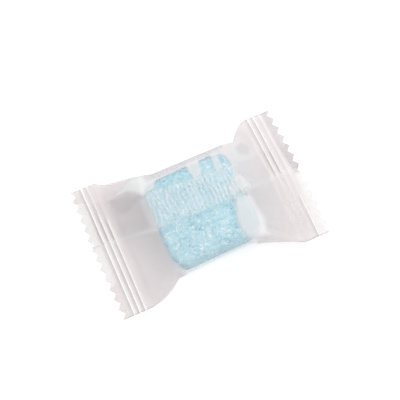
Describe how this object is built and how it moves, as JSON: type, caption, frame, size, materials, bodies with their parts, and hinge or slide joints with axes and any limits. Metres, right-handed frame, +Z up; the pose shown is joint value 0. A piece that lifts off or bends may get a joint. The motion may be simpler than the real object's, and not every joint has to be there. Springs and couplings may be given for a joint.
{
  "type": "cleaning tablet in a film sachet",
  "caption": "Pale blue pressed cleaning tablet sealed in a milky see-through film sachet with a folded back fin and ribbed, toothed end seals.",
  "frame": {"origin": "on the table at the bottom centre of the sachet's box, under the tablet", "axes": "+X along the sachet from end seal to end seal, +Y towards the free edge of the folded fin, +Z up, out of the side that carries the fin"},
  "size_m": [0.083, 0.0516, 0.0127],
  "materials": {
    "film": "milky translucent packing film, soft gloss",
    "tablet": "matte pressed powder, pale blue with darker specks"
  },
  "bodies": {
    "root": {"film_pouch": "film", "tablet": "tablet"}
  },
  "joints": []
}
